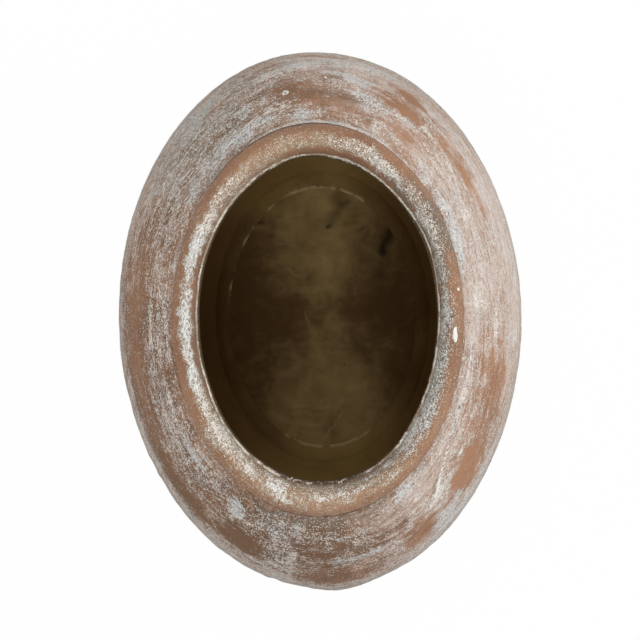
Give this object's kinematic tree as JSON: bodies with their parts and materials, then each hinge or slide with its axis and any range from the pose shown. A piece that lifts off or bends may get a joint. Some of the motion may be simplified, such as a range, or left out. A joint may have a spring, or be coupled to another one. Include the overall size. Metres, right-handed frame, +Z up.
{
  "type": "terracotta vase",
  "caption": "Oval shouldered terracotta vase with a wide rolled rim, sealed inside and whitewashed outside, that stands on a flat foot ring.",
  "frame": {"origin": "centre of the foot, on the surface that the vase stands on", "axes": "+Z up out of the mouth, +X along the oval's long axis, +Y along its short axis"},
  "size_m": [0.28, 0.21, 0.25],
  "materials": {
    "floor_clay": "satin",
    "wall_clay": "matte",
    "shoulder_clay": "matte",
    "collar_clay": "matte",
    "rim_clay": "matte",
    "seam_clay": "satin"
  },
  "bodies": {
    "root": {"floor_slab": "floor_clay", "lower_wall": "wall_clay", "shoulder_wall": "shoulder_clay", "neck_collar": "collar_clay", "rolled_rim": "rim_clay", "floor_seam_coil": "seam_clay", "belly_seam_coil": "seam_clay"}
  },
  "joints": []
}
